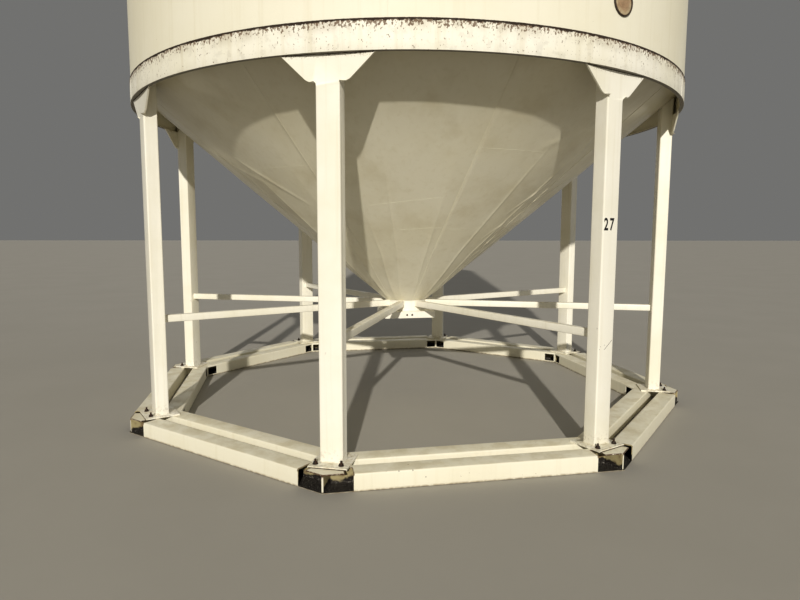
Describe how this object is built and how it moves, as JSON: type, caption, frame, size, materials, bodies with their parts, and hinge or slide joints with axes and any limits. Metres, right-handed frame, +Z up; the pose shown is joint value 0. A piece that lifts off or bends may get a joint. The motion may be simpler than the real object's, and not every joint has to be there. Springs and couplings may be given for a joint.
{
  "type": "hopper-bottom grain silo",
  "caption": "Smooth-wall steel grain silo: a round bin with a hopper cone below, carried on posts over a double octagonal skid, with level struts to the discharge neck.",
  "frame": {"origin": "on the ground below the bin's axis, at the middle of the skid's foot", "axes": "+Z up along the bin's axis, the skid side between the two front posts faces -Y, +X to the right seen from the front"},
  "size_m": [4.372, 4.372, 8.3987],
  "materials": {
    "bin_paint": "semi-gloss cream enamel, dirt below the seams",
    "band_paint": "semi-gloss cream enamel, dark dirt on its top ledge and brown speckle below it",
    "hopper_paint": "semi-gloss cream enamel",
    "roof_paint": "semi-gloss cream enamel, weathered",
    "neck_paint": "semi-gloss cream enamel",
    "post_paint": "semi-gloss cream enamel, scuffed, splashed at the foot",
    "strut_paint": "semi-gloss cream enamel",
    "skid_paint": "worn cream enamel, rusted and muddy at the open ends",
    "galvanised": "dull galvanised",
    "sight_bezel": "weathered brown-black seal",
    "sight_pane": "yellowed plastic"
  },
  "bodies": {
    "root": {"fill_collar": "roof_paint", "fill_lid": "roof_paint", "gate_frame": "neck_paint", "hopper_back_left": "hopper_paint", "hopper_back_right": "hopper_paint", "hopper_front_left": "hopper_paint", "hopper_front_right": "hopper_paint", "inner_rail_back": "skid_paint", "inner_rail_back_left": "skid_paint", "inner_rail_back_right": "skid_paint", "inner_rail_front": "skid_paint", "inner_rail_front_left": "skid_paint", "inner_rail_front_right": "skid_paint", "inner_rail_left": "skid_paint", "inner_rail_right": "skid_paint", "ladder_bracket_1": "galvanised", "ladder_bracket_2": "galvanised", "ladder_bracket_3": "galvanised", "ladder_bracket_4": "galvanised", "ladder_lower": "galvanised", "ladder_upper": "galvanised", "neck_collar": "neck_paint", "outer_rail_back": "skid_paint", "outer_rail_back_left": "skid_paint", "outer_rail_back_right": "skid_paint", "outer_rail_front": "skid_paint", "outer_rail_front_left": "skid_paint", "outer_rail_front_right": "skid_paint", "outer_rail_left": "skid_paint", "outer_rail_right": "skid_paint", "post_back_left": "post_paint", "post_back_right": "post_paint", "post_front_left": "post_paint", "post_front_right": "post_paint", "post_left_back": "post_paint", "post_left_front": "post_paint", "post_right_back": "post_paint", "post_right_front": "post_paint", "roof_back_left": "roof_paint", "roof_back_right": "roof_paint", "roof_front_left": "roof_paint", "roof_front_right": "roof_paint", "sight_bezel": "sight_bezel", "sight_pane": "sight_pane", "strut_back_left": "strut_paint", "strut_back_right": "strut_paint", "strut_front_left": "strut_paint", "strut_front_right": "strut_paint", "strut_left_back": "strut_paint", "strut_left_front": "strut_paint", "strut_right_back": "strut_paint", "strut_right_front": "strut_paint", "support_band": "band_paint", "wall_back": "bin_paint", "wall_front": "bin_paint", "wall_left": "bin_paint", "wall_right": "bin_paint"}
  },
  "joints": []
}
